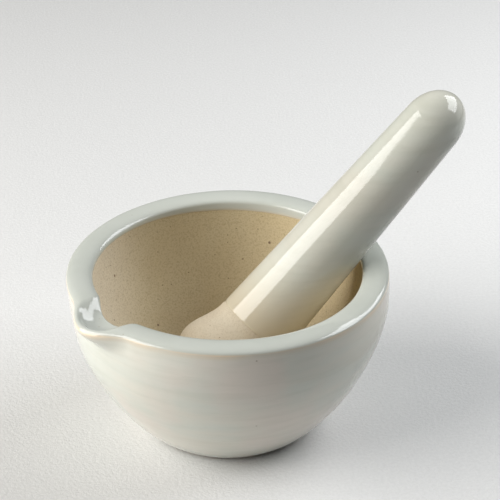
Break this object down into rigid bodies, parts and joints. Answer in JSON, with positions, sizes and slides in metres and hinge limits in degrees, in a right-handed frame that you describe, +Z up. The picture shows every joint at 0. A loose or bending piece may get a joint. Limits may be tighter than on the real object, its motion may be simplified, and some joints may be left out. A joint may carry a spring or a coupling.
{
  "type": "laboratory mortar and pestle",
  "caption": "Round-bottomed porcelain mortar with a pouring lip and a flat foot, and a matching pestle with a flared bare head, leaning on the glazed rim",
  "frame": {"origin": "centre of the mortar's flat foot, on the bowl's axis, at the height of the surface it stands on", "axes": "+Z up along the bowl's axis; the pouring lip points 36 degrees below -X towards -Y; the pestle leans towards +X and slightly +Y; -Y is the front"},
  "size_m": [0.1228, 0.1, 0.1029],
  "materials": {
    "biscuit": "matt unglazed porcelain biscuit, warm grey-tan with fine dark specks",
    "glaze": "glossy clear-white glaze, faintly blue where it pools and cream where it thins",
    "pestle_biscuit": "smooth matt biscuit, pale cream",
    "pestle_glaze": "glossy white glaze"
  },
  "bodies": {
    "mortar": {"mortar": "biscuit", "mortar_glaze": "glaze"},
    "pestle": {"pestle": "pestle_biscuit", "pestle_glaze": "pestle_glaze"}
  },
  "joints": [
    {"name": "pestle_lift", "type": "slide", "parent": "mortar", "child": "pestle", "axis": [0, 0, 1], "range_m": [0, 0.08]}
  ]
}
